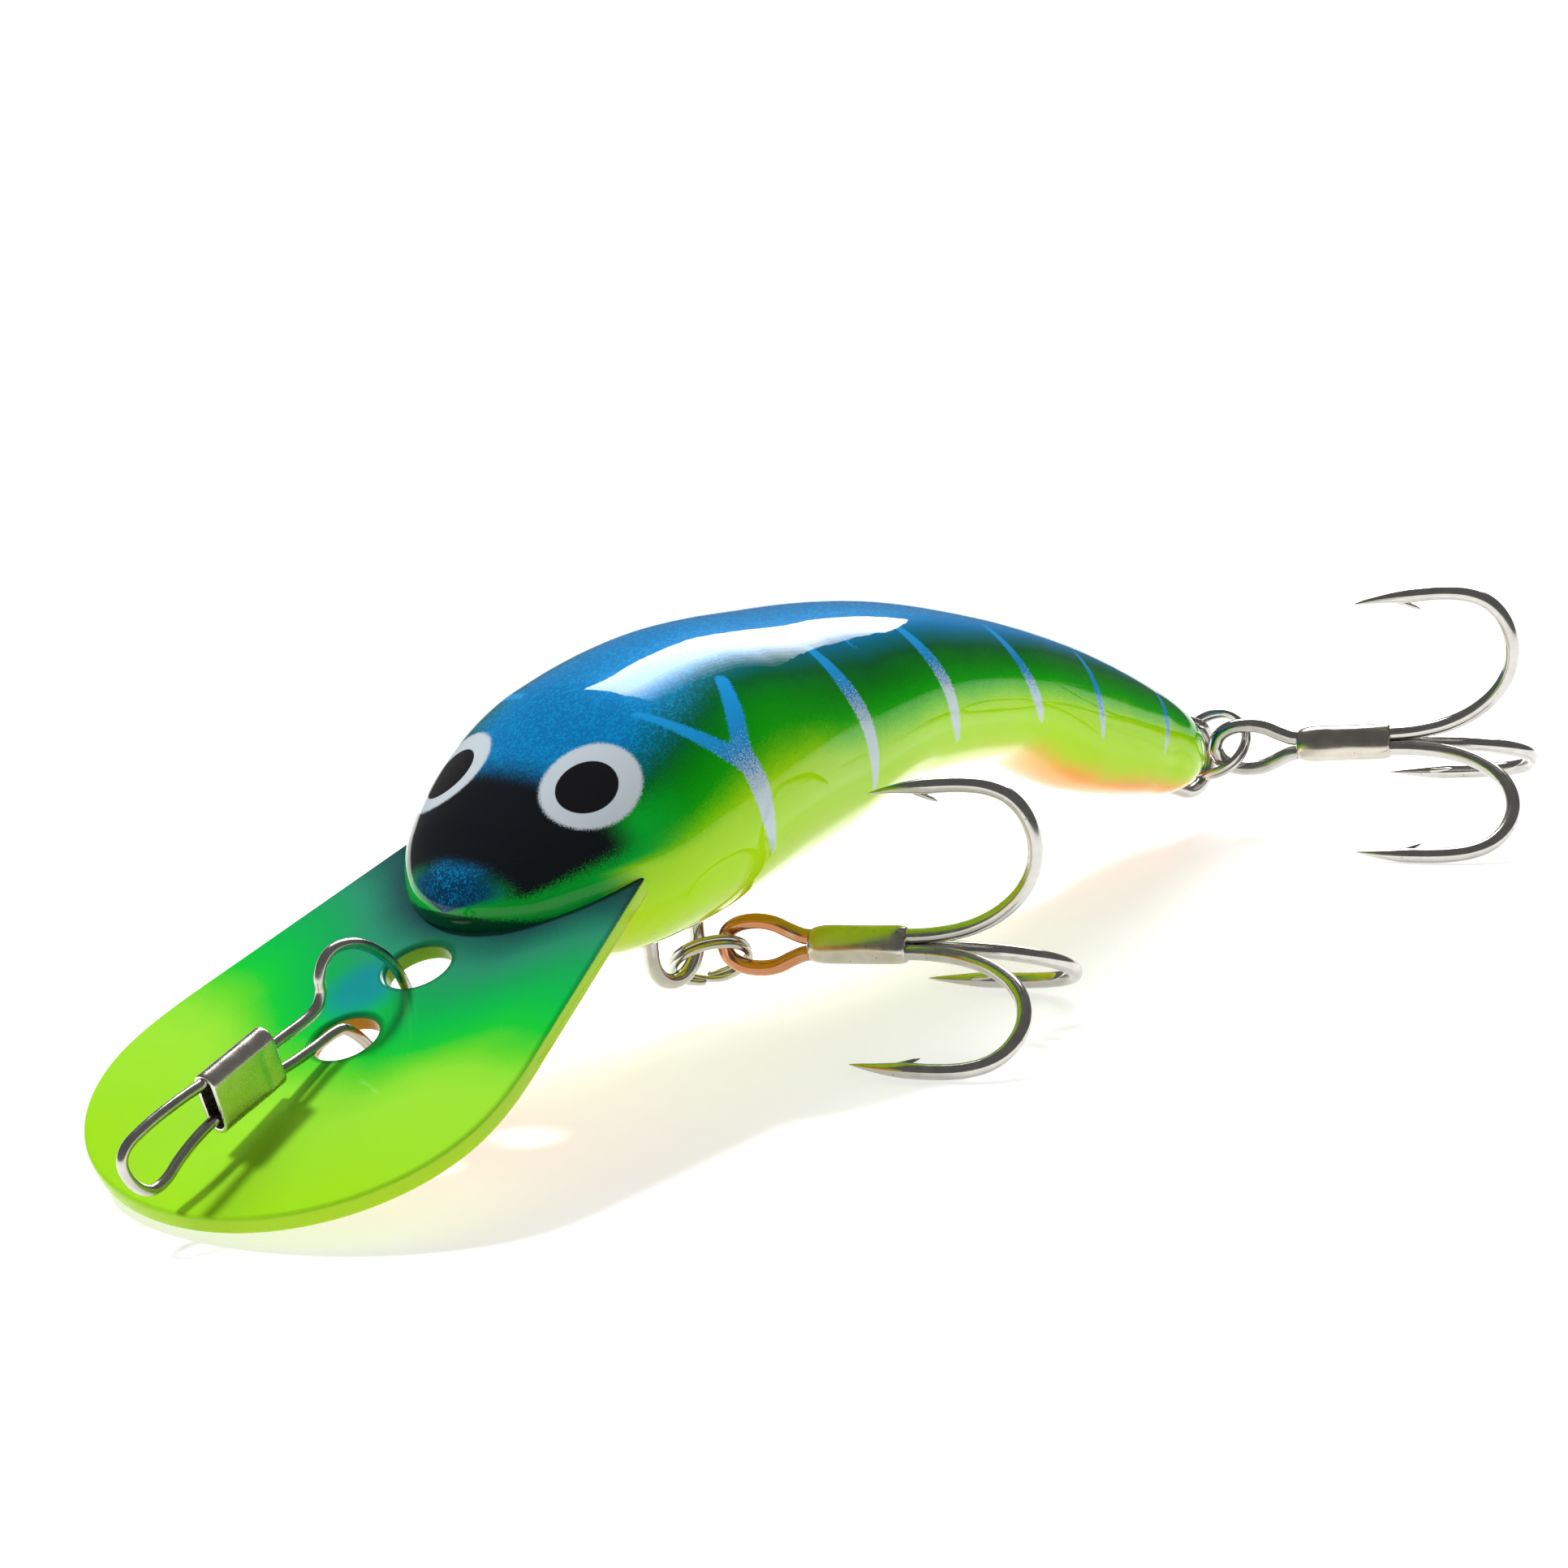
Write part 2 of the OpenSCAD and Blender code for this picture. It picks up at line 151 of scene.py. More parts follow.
# -------------------------------------------------------- material helpers
class Nodes:
    def __init__(self, name):
        self.mat = bpy.data.materials.new(name)
        self.mat.use_nodes = True
        self.t = self.mat.node_tree
        self.bsdf = self.t.nodes["Principled BSDF"]

    def link(self, a, b):
        self.t.links.new(a, b)

    def put(self, socket, value):
        if isinstance(value, bpy.types.NodeSocket):
            self.link(value, socket)
        else:
            socket.default_value = value

    def math(self, op, a, b=0.0, c=None, clamp=False):
        n = self.t.nodes.new("ShaderNodeMath")
        n.operation = op
        n.use_clamp = clamp
        self.put(n.inputs[0], a)
        self.put(n.inputs[1], b)
        if c is not None:
            self.put(n.inputs[2], c)
        return n.outputs[0]

    def step(self, v, lo, hi, a=0.0, b=1.0):
        n = self.t.nodes.new("ShaderNodeMapRange")
        n.interpolation_type = "SMOOTHSTEP"
        self.put(n.inputs["Value"], v)
        n.inputs["From Min"].default_value = lo
        n.inputs["From Max"].default_value = hi
        n.inputs["To Min"].default_value = a
        n.inputs["To Max"].default_value = b
        return n.outputs["Result"]

    def attr(self, name):
        n = self.t.nodes.new("ShaderNodeAttribute")
        n.attribute_name = name
        return n.outputs["Fac"]

    def obj(self):
        return self.t.nodes.new("ShaderNodeTexCoord").outputs["Object"]

    def xyz(self, v):
        n = self.t.nodes.new("ShaderNodeSeparateXYZ")
        self.link(v, n.inputs[0])
        return n.outputs

    def noise(self, vec, scale, detail=3.0, rough=0.5):
        n = self.t.nodes.new("ShaderNodeTexNoise")
        self.link(vec, n.inputs["Vector"])
        n.inputs["Scale"].default_value = scale
        n.inputs["Detail"].default_value = detail
        n.inputs["Roughness"].default_value = rough
        return n.outputs["Fac"]

    def cells(self, vec, scale):
        n = self.t.nodes.new("ShaderNodeTexVoronoi")
        self.link(vec, n.inputs["Vector"])
        n.inputs["Scale"].default_value = scale
        return n

    def ramp(self, fac, stops, interp="LINEAR"):
        n = self.t.nodes.new("ShaderNodeValToRGB")
        cr = n.color_ramp
        cr.interpolation = interp
        while len(cr.elements) > 1:
            cr.elements.remove(cr.elements[-1])
        cr.elements[0].position = stops[0][0]
        cr.elements[0].color = (*stops[0][1], 1)
        for p, col in stops[1:]:
            e = cr.elements.new(p)
            e.color = (*col, 1)
        self.put(n.inputs["Fac"], fac)
        return n.outputs["Color"]

    def mix(self, fac, a, b, blend="MIX"):
        n = self.t.nodes.new("ShaderNodeMix")
        n.data_type = "RGBA"
        n.blend_type = blend
        self.put(n.inputs[0], fac)
        self.put(n.inputs[6], a if isinstance(a, bpy.types.NodeSocket) else (*a, 1))
        self.put(n.inputs[7], b if isinstance(b, bpy.types.NodeSocket) else (*b, 1))
        return n.outputs[2]

    def bump(self, height, strength, distance, normal=None):
        n = self.t.nodes.new("ShaderNodeBump")
        n.inputs["Strength"].default_value = strength
        n.inputs["Distance"].default_value = distance
        self.put(n.inputs["Height"], height)
        if normal is not None:
            self.link(normal, n.inputs["Normal"])
        return n.outputs["Normal"]


def mm_coords(n):
    """Millimetre coordinates of the local design frame: vector output and its three parts."""
    o = n.obj()
    s = n.t.nodes.new("ShaderNodeVectorMath")
    s.operation = "MULTIPLY_ADD"
    n.link(o, s.inputs[0])
    s.inputs[1].default_value = (1000, 1000, 1000)
    s.inputs[2].default_value = tuple(-HOME)
    return s.outputs[0]


def metal(name, base, rough, speck=0.0, scratches=0.03, warm=None):
    n = Nodes(name)
    v = mm_coords(n)
    cloud = n.noise(v, 0.9, 4.0)
    fine = n.noise(v, 9.0, 3.0, 0.6)
    tone = n.ramp(cloud, [(0.3, tuple(c * 0.86 for c in base)), (0.7, base)])
    if speck:
        spots = n.cells(v, 2.3)
        near = n.step(spots.outputs["Distance"], 0.10, 0.16, 1.0, 0.0)
        rare = n.step(n.noise(v, 0.8, 2.0), 0.56, 0.62)
        dirt = n.math("MULTIPLY", near, rare)
        dirt = n.math("MULTIPLY", dirt, speck)
        tone = n.mix(dirt, tone, (0.03, 0.025, 0.02))
    if warm:
        X, Y, Z = n.xyz(v)
        far = None
        for q, c in zip((X, Y, Z), warm):
            d = n.math("SUBTRACT", q, c)
            d = n.math("MULTIPLY", d, d)
            far = d if far is None else n.math("ADD", far, d)
        far = n.math("ADD", n.math("SQRT", far), n.math("MULTIPLY", n.math("SUBTRACT", cloud, 0.5), 6.0))
        tone = n.mix(n.math("MULTIPLY", n.step(far, 3.0, 6.5, 1.0, 0.0), 0.75), tone, (0.62, 0.20, 0.05))
    n.link(tone, n.bsdf.inputs["Base Color"])
    n.bsdf.inputs["Metallic"].default_value = 1.0
    n.link(n.step(n.math("ADD", n.math("MULTIPLY", cloud, 0.6), n.math("MULTIPLY", fine, 0.4)), 0.3, 0.7, rough * 0.75, rough * 1.3), n.bsdf.inputs["Roughness"])
    n.link(n.bump(fine, scratches, 0.00005), n.bsdf.inputs["Normal"])
    return n.mat


# ------------------------------------------------------------- body shape
NOSE_X, TAIL_X, NOSE_Z, TAIL_Z = 11.0, 98.7, 6.1, -5.4
KX = [0, .02, .06, .12, .2, .3, .42, .55, .68, .8, .9, .96, 1]
K_TOP = [22, 22, 27.5, 33, 38, 39, 37.5, 36, 33.5, 31, 28.5, 27.5, 27.5]
K_BOT = [17, 17, 16.5, 15, 11, 5.5, 0, -7, -8, 0.5, 6, 10, 10]
K_HALF = [36.5, 36.5, 37, 36.5, 33, 27.5, 21.5, 18, 16, 16, 17.5, 21, 21]


def slopes(k):
    d = [(k[i + 1] - k[i]) / (KX[i + 1] - KX[i]) for i in range(len(k) - 1)]
    out = [0.0]
    for i in range(1, len(k) - 1):
        a, b = d[i - 1], d[i]
        h0, h1 = KX[i] - KX[i - 1], KX[i + 1] - KX[i]
        out.append(0.0 if a * b <= 0 else 3 * (h0 + h1) / ((2 * h1 + h0) / a + (h1 + 2 * h0) / b))
    return out + [0.0]


SL = {id(k): slopes(k) for k in (K_TOP, K_BOT, K_HALF)}


def smooth(k, t):
    i = 0
    while i < len(KX) - 2 and t > KX[i + 1]:
        i += 1
    h = KX[i + 1] - KX[i]
    u = (t - KX[i]) / h
    s = SL[id(k)]
    return ((2 * u ** 3 - 3 * u * u + 1) * k[i] + (u ** 3 - 2 * u * u + u) * s[i] * h
            + (3 * u * u - 2 * u ** 3) * k[i + 1] + (u ** 3 - u * u) * s[i + 1] * h)


def body_pt(x, a, side=-1):
    t = (x - NOSE_X) / (TAIL_X - NOSE_X)
    e = math.sqrt(max(0.0, t * (1 - t)))
    mid = NOSE_Z + (TAIL_Z - NOSE_Z) * t
    top, bot, half = mid + smooth(K_TOP, t) * e, mid - smooth(K_BOT, t) * e, smooth(K_HALF, t) * e
    wide = (top + bot) / 2 + 0.06 * (top - bot) / 2
    p = 2.15 if x < 22 else 2.15 - 0.15 * (x - 22) / 18 if x < 40 else 2.0 + 0.1 * (x - 40) / 60
    ca, sa = abs(math.cos(a)) ** (2 / p), abs(math.sin(a)) ** (2 / p)
    return (x, side * half * ca, wide + (top - wide) * sa if a >= 0 else wide - (wide - bot) * sa)


# stripes: (x, section angle in degrees, half width)
STRIPES = [
    [(26.7, 66, .3), (27.8, 49, .5), (29.0, 36, .7), (30.3, 25, .8), (30.9, 20, .8)],
    [(34.2, 55, .55), (32.8, 43, .75), (31.6, 33, .8), (31.0, 26, .9)],
    [(30.9, 26, .9), (31.3, 12, 1.0), (31.9, -4, .75), (33.2, -22, .25)],
    [(44.7, 52, .45), (45.3, 32, .8), (46.0, 15, .85), (46.9, -6, .65), (48.0, -26, .25)],
    [(56.2, 57, .35), (56.8, 36, .65), (57.6, 15, .7), (58.6, -8, .55), (60.0, -28, .2)],
    [(68.5, 57, .3), (68.8, 34, .5), (69.6, 10, .5), (70.6, -8, .45), (71.4, -21, .18)],
    [(79.5, 52, .25), (79.2, 24, .42), (79.2, 2, .4), (79.6, -16, .15)],
    [(90.0, 46, .22), (89.4, 22, .38), (89.0, 2, .34), (88.6, -14, .14)],
    [(49.1, 55, .12), (49.6, 45, .2)],
]
EYE = np.array([20.66, 6.25, 13.99])
PUPIL = np.array([20.3, 6.2, 14.05])

N_LEN, N_ARC = 300, 90
ring_a = [math.radians(-90 + 180 * j / N_ARC) for j in range(N_ARC + 1)]
verts = [body_pt(NOSE_X, 0)]
angs = [0.0]
for i in range(1, N_LEN):
    t = (1 - math.cos(math.pi * i / N_LEN)) / 2
    x = NOSE_X + (TAIL_X - NOSE_X) * t
    for a in ring_a:
        verts.append(body_pt(x, a, -1))
        angs.append(a)
    for a in ring_a[-2:0:-1]:
        verts.append(body_pt(x, a, 1))
        angs.append(a)
verts.append(body_pt(TAIL_X, 0))
angs.append(0.0)
V = np.array(verts)
A = np.degrees(np.array(angs))
W = 2 * N_ARC
faces = []
for j in range(W):
    faces.append((0, 1 + (j + 1) % W, 1 + j))
for i in range(N_LEN - 2):
    b0, b1 = 1 + i * W, 1 + (i + 1) * W
    for j in range(W):
        k = (j + 1) % W
        faces.append((b0 + j, b0 + k, b1 + k, b1 + j))
last = len(V) - 1
b0 = 1 + (N_LEN - 2) * W
for j in range(W):
    faces.append((last, b0 + j, b0 + (j + 1) % W))
body = new_mesh("painted_body", (V + HOME) * MM, faces)

F = np.column_stack([V[:, 0], np.abs(V[:, 1]), V[:, 2]])
sd = np.full(len(V), 9.0)
for st in STRIPES:
    st = np.array(st, float)
    q = crom(st, 8)
    pts = np.array([np.array(body_pt(x, math.radians(a), 1)) for x, a, _ in q])
    for k in range(len(pts) - 1):
        p0, d = pts[k], pts[k + 1] - pts[k]
        u = np.clip(((F - p0) @ d) / (d @ d), 0, 1)
        dist = np.linalg.norm(F - (p0 + u[:, None] * d), axis=1) - (q[k, 2] + (q[k + 1, 2] - q[k, 2]) * u)
        sd = np.minimum(sd, dist)


def add_attr(ob, name, values):
    at = ob.data.attributes.new(name, "FLOAT", "POINT")
    at.data.foreach_set("value", np.asarray(values, np.float32))


add_attr(body, "stripe", sd)
add_attr(body, "ang", A)
FAR_EYE = np.array(body_pt(20.4, math.radians(50.5), 1))
FAR_PUPIL = np.array(body_pt(20.15, math.radians(51.0), 1))
right = V[:, 1] > 0
add_attr(body, "eye", np.where(right, np.linalg.norm(V - FAR_EYE, axis=1), np.linalg.norm(F - EYE, axis=1)))
add_attr(body, "pupil", np.where(right, np.linalg.norm(V - FAR_PUPIL, axis=1), np.linalg.norm(F - PUPIL, axis=1)))


def body_paint():
    n = Nodes("airbrushed_body_paint")
    v = mm_coords(n)
    x, _, z = n.xyz(v)
    over_bib = n.step(n.math("SUBTRACT", n.math("MULTIPLY", z, math.cos(TILT)), n.math("MULTIPLY", x, math.sin(TILT))), -1.2, -0.4)
    soft = n.math("SUBTRACT", n.noise(v, 0.22, 3.0), 0.5)
    speck = n.math("SUBTRACT", n.noise(v, 9.0, 1.0, 0.6), 0.5)
    flake = n.cells(v, 7.0)
    ang = n.attr("ang")
    lift = n.math("MULTIPLY", n.step(x, 25.0, 36.0, 1.0, 0.0), n.step(x, 17.0, 22.0, 0.0, 12.0))
    drop = n.math("SUBTRACT", n.step(x, 29.0, 50.0, 0.0, 20.0), n.step(x, 68.0, 86.0, 0.0, 9.0))
    a = n.math("ADD", n.math("ADD", ang, lift), drop)
    a = n.math("ADD", a, n.math("MULTIPLY", soft, 9.0))
    a = n.math("ADD", a, n.math("MULTIPLY", speck, 12.0))
    f = n.math("MULTIPLY_ADD", a, 1 / 180.0, 0.5)
    col = n.ramp(f, [
        ((-90 + 90) / 180, (0.56, 0.50, 0.010)),
        ((-60 + 90) / 180, (0.52, 0.57, 0.008)),
        ((-38 + 90) / 180, (0.46, 0.66, 0.006)),
        ((-8 + 90) / 180, (0.40, 0.70, 0.002)),
        ((13 + 90) / 180, (0.36, 0.69, 0.002)),
        ((23 + 90) / 180, (0.12, 0.54, 0.001)),
        ((31 + 90) / 180, (0.004, 0.38, 0.001)),
        ((44 + 90) / 180, (0.0, 0.22, 0.003)),
        ((55 + 90) / 180, (0.0, 0.10, 0.02)),
        ((65 + 90) / 180, (0.0, 0.12, 0.17)),
        ((76 + 90) / 180, (0.0, 0.165, 0.42)),
        (1.0, (0.0, 0.15, 0.39))])
    # warm overspray below the tail
    warm = n.math("MULTIPLY", n.step(x, 60.0, 80.0), n.step(n.math("ADD", ang, n.math("MULTIPLY", soft, 30.0)), -62.0, -32.0, 1.0, 0.0))
    col = n.mix(n.math("MULTIPLY", warm, 0.85), col, (0.90, 0.30, 0.05))
    # stripes, blue above and silver below
    sd_ = n.math("ADD", n.attr("stripe"), n.math("MULTIPLY", speck, 0.55))
    in_stripe = n.step(sd_, -0.14, 0.10, 1.0, 0.0)
    cold = n.step(n.math("ADD", n.math("ADD", ang, n.math("MULTIPLY", speck, 60.0)), n.math("MULTIPLY", n.step(x, 50.0, 80.0), 16.0)), 8.0, 30.0)
    stripe_col = n.mix(cold, (0.52, 0.63, 0.66), (0.01, 0.27, 0.62))
    col = n.mix(in_stripe, col, stripe_col)
    # dark mask between and below the eyes
    edge = n.math("ADD", x, n.math("MULTIPLY", speck, 1.2))
    high = n.math("ADD", ang, n.math("MULTIPLY", speck, 18.0))
    dark = n.math("MULTIPLY", n.step(edge, 12.2, 13.6), n.step(edge, 18.6, 21.4, 1.0, 0.0))
    dark = n.math("MULTIPLY", dark, n.step(high, 11.0, 24.0))
    rim = n.math("MULTIPLY", n.step(x, 17.0, 21.0, 1.0, 0.0), n.step(high, 26.0, 44.0, 1.0, 0.0))
    cheek = n.math("MULTIPLY", n.step(x, 20.0, 26.0, 1.0, 0.0), n.math("MULTIPLY", n.step(ang, 4.0, 13.0), n.step(high, 26.0, 44.0, 1.0, 0.0)))
    rim = n.math("MULTIPLY", n.math("MAXIMUM", rim, cheek), over_bib)
    tip = n.math("MULTIPLY", n.step(edge, 11.8, 14.0, 1.0, 0.0), n.step(high, 10.0, 36.0))
    # the mouth rim is green paint; its dark lower part is painted shade where the head overhangs the bib
    mouth_rim_col_with_painted_shade = n.mix(n.step(high, -16.0, -6.0), (0.0, 0.06, 0.02), (0.0, 0.40, 0.03))
    col = n.mix(rim, col, mouth_rim_col_with_painted_shade)
    col = n.mix(tip, col, (0.0, 0.035, 0.10))
    col = n.mix(dark, col, (0.004, 0.006, 0.008))
    # painted eyes
    ring = n.step(n.math("ADD", n.attr("eye"), n.math("MULTIPLY", speck, 0.5)), 3.65, 4.02, 1.0, 0.0)
    col = n.mix(ring, col, (0.47, 0.53, 0.57))
    pup = n.step(n.attr("pupil"), 2.33, 2.43, 1.0, 0.0)
    col = n.mix(pup, col, (0.006, 0.006, 0.007))
    # metal flake only where the paint is blue
    blue = n.step(n.math("ADD", ang, lift), 50.0, 68.0)
    flaky = n.math("MULTIPLY", n.math("MAXIMUM", blue, n.math("MULTIPLY", tip, 0.4)), n.math("SUBTRACT", 1.0, n.math("MAXIMUM", dark, ring)))
    tw = n.xyz(flake.outputs["Color"])[0]
    col = n.mix(n.math("MULTIPLY", flaky, n.step(tw, 0.45, 1.0, 0.0, 0.45)), col, (0.0, 0.36, 0.68))
    n.link(col, n.bsdf.inputs["Base Color"])
    n.link(n.math("MULTIPLY", flaky, 0.15), n.bsdf.inputs["Metallic"])
    n.bsdf.inputs["Roughness"].default_value = 0.38
    n.bsdf.inputs["Specular IOR Level"].default_value = 0.0
    n.bsdf.inputs["Coat Weight"].default_value = 1.0
    n.bsdf.inputs["Coat Roughness"].default_value = 0.03
    n.bsdf.inputs["Coat IOR"].default_value = 1.32
    n.link(n.bump(n.math("MULTIPLY", tw, flaky), 0.35, 0.00003), n.bsdf.inputs["Normal"])
    peel = n.noise(v, 0.35, 2.0)
    n.link(n.bump(peel, 0.12, 0.00008), n.bsdf.inputs["Coat Normal"])
    return n.mat


body.data.materials.append(body_paint())
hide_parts("left_shell", "right_shell")
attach(body, "lure_body")

# -------------------------------------------------------------------- bib
FRONT_C, FRONT_A, FRONT_B, SIDE_K, CORNER_S, TONGUE_S, TONGUE_W, BIB_T = -5.0, 14.9, 17.6, 0.265, 22.0, 31.0, 7.5, 1.5
TOW_R, TOW_PITCH = 2.5, 8.4


def side_w(s):
    return 17.0 - SIDE_K * s


def bib_w(s):
    if s <= FRONT_C:
        return FRONT_B * math.sqrt(max(0.0, 1 - ((s - FRONT_C) / FRONT_A) ** 2))
    if s < 2:
        u, h = (s - FRONT_C) / (2 - FRONT_C), 2 - FRONT_C
        return (2 * u ** 3 - 3 * u * u + 1) * FRONT_B + (3 * u * u - 2 * u ** 3) * side_w(2) - (u ** 3 - u * u) * SIDE_K * h
    return side_w(s)


def bib_mesh():
    ss = [FRONT_C - FRONT_A * math.cos(math.pi / 2 * i / 48) for i in range(49)] + [-4.2 + 0.4 * i for i in range(15)] + [2 + 20 * i / 10 for i in range(11)]
    half = [(s, bib_w(s)) for s in ss] + [(22.6, TONGUE_W), (TONGUE_S, TONGUE_W)]
    outline = half + [(s, -y) for s, y in reversed(half[1:])]
    cu = bpy.data.curves.new("bib_curve", "CURVE")
    cu.dimensions = "2D"
    cu.fill_mode = "BOTH"
    bev = 0.32
    cu.extrude = (BIB_T / 2 - bev) * MM
    cu.bevel_depth = bev * MM
    cu.bevel_resolution = 4
    cu.offset = -bev * MM

    def loop(points):
        sp = cu.splines.new("POLY")
        sp.points.add(len(points) - 1)
        for q, (s, y) in zip(sp.points, points):
            q.co = (s * MM, y * MM, 0, 1)
        sp.use_cyclic_u = True

    loop(outline)
    for c in (0.0, TOW_PITCH):
        loop([(c + TOW_R * math.cos(2 * math.pi * i / 72), TOW_R * math.sin(2 * math.pi * i / 72)) for i in range(72)])
    ob = bpy.data.objects.new("bib_curve", cu)
    bpy.context.scene.collection.objects.link(ob)
    bpy.context.view_layer.update()
    me = bpy.data.meshes.new_from_object(ob.evaluated_get(bpy.context.evaluated_depsgraph_get()))
    bpy.data.objects.remove(ob)
    co = np.array([v.co for v in me.vertices])
    co[:, 2] -= BIB_T / 2 * MM
    r = rot_y(-TILT)
    co = co @ r.T + HOME * MM
    me.vertices.foreach_set("co", co.astype(np.float32).ravel())
    me.name = "diving_bib"
    me.update()
    bib = bpy.data.objects.new("diving_bib", me)
    bpy.context.scene.collection.objects.link(bib)
    me.polygons.foreach_set("use_smooth", [True] * len(me.polygons))
    me.set_sharp_from_angle(angle=math.radians(40))
    return bib


def bib_paint():
    n = Nodes("bib_paint")
    v = mm_coords(n)
    X, Y, Z = n.xyz(v)
    s = n.math("ADD", n.math("MULTIPLY", X, math.cos(TILT)), n.math("MULTIPLY", Z, math.sin(TILT)))
    h = n.math("SUBTRACT", n.math("MULTIPLY", Z, math.cos(TILT)), n.math("MULTIPLY", X, math.sin(TILT)))
    ay = n.math("ABSOLUTE", Y)
    soft = n.math("SUBTRACT", n.noise(v, 0.14, 2.0), 0.5)
    speck = n.math("SUBTRACT", n.noise(v, 9.0, 1.0, 0.6), 0.5)
    side = n.step(ay, 4.0, 13.0, 0.0, 5.5)
    q = n.math("SUBTRACT", s, side)
    q = n.math("ADD", q, n.math("MULTIPLY", soft, 3.0))
    q = n.math("ADD", q, n.math("MULTIPLY", speck, 2.0))
    f = n.math("MULTIPLY_ADD", q, 1 / 44.0, 20 / 44.0)

    def at(k):
        return (k + 20) / 44
    # top side runs from lime at the front to dark teal at the head; the dark end is airbrushed dark paint plus a
    # painted reflection of the dark head
    top = n.ramp(f, [
        (at(-20), (0.30, 0.64, 0.01)), (at(-9), (0.29, 0.66, 0.03)), (at(-6), (0.23, 0.64, 0.03)), (at(-3.5), (0.10, 0.57, 0.02)),
        (at(-1), (0.004, 0.50, 0.03)), (at(2.5), (0.0, 0.42, 0.055)), (at(6), (0.005, 0.32, 0.08)), (at(9.5), (0.02, 0.24, 0.13)),
        (at(13), (0.016, 0.09, 0.085)), (at(16.5), (0.006, 0.03, 0.036)), (at(20), (0.008, 0.025, 0.04))])
    ds = n.math("DIVIDE", n.math("SUBTRACT", s, 5.0), 3.6)
    dy = n.math("DIVIDE", n.math("SUBTRACT", Y, 2.6), 3.0)
    rad = n.math("SQRT", n.math("ADD", n.math("MULTIPLY", ds, ds), n.math("MULTIPLY", dy, dy)))
    spot = n.step(n.math("ADD", rad, n.math("MULTIPLY", speck, 0.5)), 0.35, 1.35, 1.0, 0.0)
    top = n.mix(n.math("MULTIPLY", spot, 0.7), top, (0.0, 0.22, 0.34))
    under = n.ramp(f, [(at(-20), (0.42, 0.62, 0.01)), (at(-6), (0.60, 0.50, 0.01)), (at(4), (0.66, 0.26, 0.01)), (at(20), (0.62, 0.16, 0.01))])
    wall_col = n.mix(n.math("ADD", 0.5, speck), (0.33, 0.62, 0.008), (0.45, 0.68, 0.012))
    col = n.mix(n.step(n.math("ADD", h, n.math("MULTIPLY", speck, 0.2)), -0.36, -0.16, 1.0, 0.0), top, wall_col)
    col = n.mix(n.step(h, -1.36, -1.2, 1.0, 0.0), col, under)
    # walls of the two tow holes
    holes = None
    for c in (0.0, TOW_PITCH):
        d = n.math("SUBTRACT", s, c)
        rr = n.math("SQRT", n.math("ADD", n.math("MULTIPLY", d, d), n.math("MULTIPLY", Y, Y)))
        holes = rr if holes is None else n.math("MINIMUM", holes, rr)
    in_hole = n.math("MULTIPLY", n.step(holes, 2.55, 2.75, 1.0, 0.0), n.step(h, -0.45, -0.25, 1.0, 0.0))
    hole_col = n.mix(n.step(s, 3.0, 6.0), (0.60, 0.26, 0.004), (0.16, 0.36, 0.01))
    col = n.mix(in_hole, col, hole_col)
    edge_ring = n.math("MULTIPLY", n.step(holes, 2.75, 3.15, 1.0, 0.0), n.step(h, -0.45, -0.25))
    col = n.mix(n.math("MULTIPLY", edge_ring, 0.65), col, (0.0, 0.10, 0.02))
    n.link(col, n.bsdf.inputs["Base Color"])
    n.bsdf.inputs["Roughness"].default_value = 0.42
    n.bsdf.inputs["Specular IOR Level"].default_value = 0.0
    n.bsdf.inputs["Coat Weight"].default_value = 0.8
    n.bsdf.inputs["Coat Roughness"].default_value = 0.09
    n.bsdf.inputs["Coat IOR"].default_value = 1.32
    n.link(n.math("MULTIPLY", spot, 0.2), n.bsdf.inputs["Metallic"])
    halo = n.math("MULTIPLY", n.step(holes, 2.6, 3.4), n.step(holes, 3.4, 5.2, 1.0, 0.0))
    tiny = n.noise(v, 1.6, 3.0)
    nb = n.bump(halo, 0.15, 0.00008)
    nb = n.bump(tiny, 0.10, 0.00005, nb)
    n.link(nb, n.bsdf.inputs["Normal"])
    n.link(nb, n.bsdf.inputs["Coat Normal"])
    return n.mat


bib = bib_mesh()
bib.data.materials.clear()
bib.data.materials.append(bib_paint())
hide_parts("bib")
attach(bib, "lure_body")

# ------------------------------------------------------------------ metals
nickel = metal("bright_nickel", (0.56, 0.545, 0.51), 0.15, speck=0.8)
warm_nickel = metal("warm_nickel", (0.56, 0.545, 0.51), 0.15, speck=0.8, warm=(39.6, -3.9, -3.9))
ring_metal = metal("ring_nickel", (0.56, 0.545, 0.51), 0.17, speck=0.5)
link_metal = metal("link_steel", (0.56, 0.53, 0.49), 0.22, speck=0.1, scratches=0.02)
sleeve_metal = metal("sleeve_steel", (0.70, 0.65, 0.58), 0.26, speck=0.3, scratches=0.05)
braze_metal = metal("brazed_shank", (0.58, 0.54, 0.47), 0.20, speck=0.9, scratches=0.10)
solder_metal = metal("solder", (0.82, 0.82, 0.80), 0.22)
plain_steel = metal("plain_steel", (0.50, 0.50, 0.50), 0.35)

# ----------------------------------------------------------- treble hooks
ARM = [[0.7, -1.5], [0.7, 2.5], [0.92, 4.9], [1.45, 7.1], [2.45, 9.2], [3.95, 11], [5.75, 12.1], [7.85, 12.5],
       [9.9, 12.05], [11.4, 10.95], [12.2, 9.3], [12.45, 7.2], [12.35, 4.5]]
EYE_K = [[0.62, -5.4], [0.7, -6.2], [1.1, -7.2], [1.65, -8.4], [1.85, -9.7], [1.65, -11.1], [1, -12.1], [0, -12.5]]
SHANK_A, SHANK_B, HOOK_R = -5.7, 2.1, 0.6


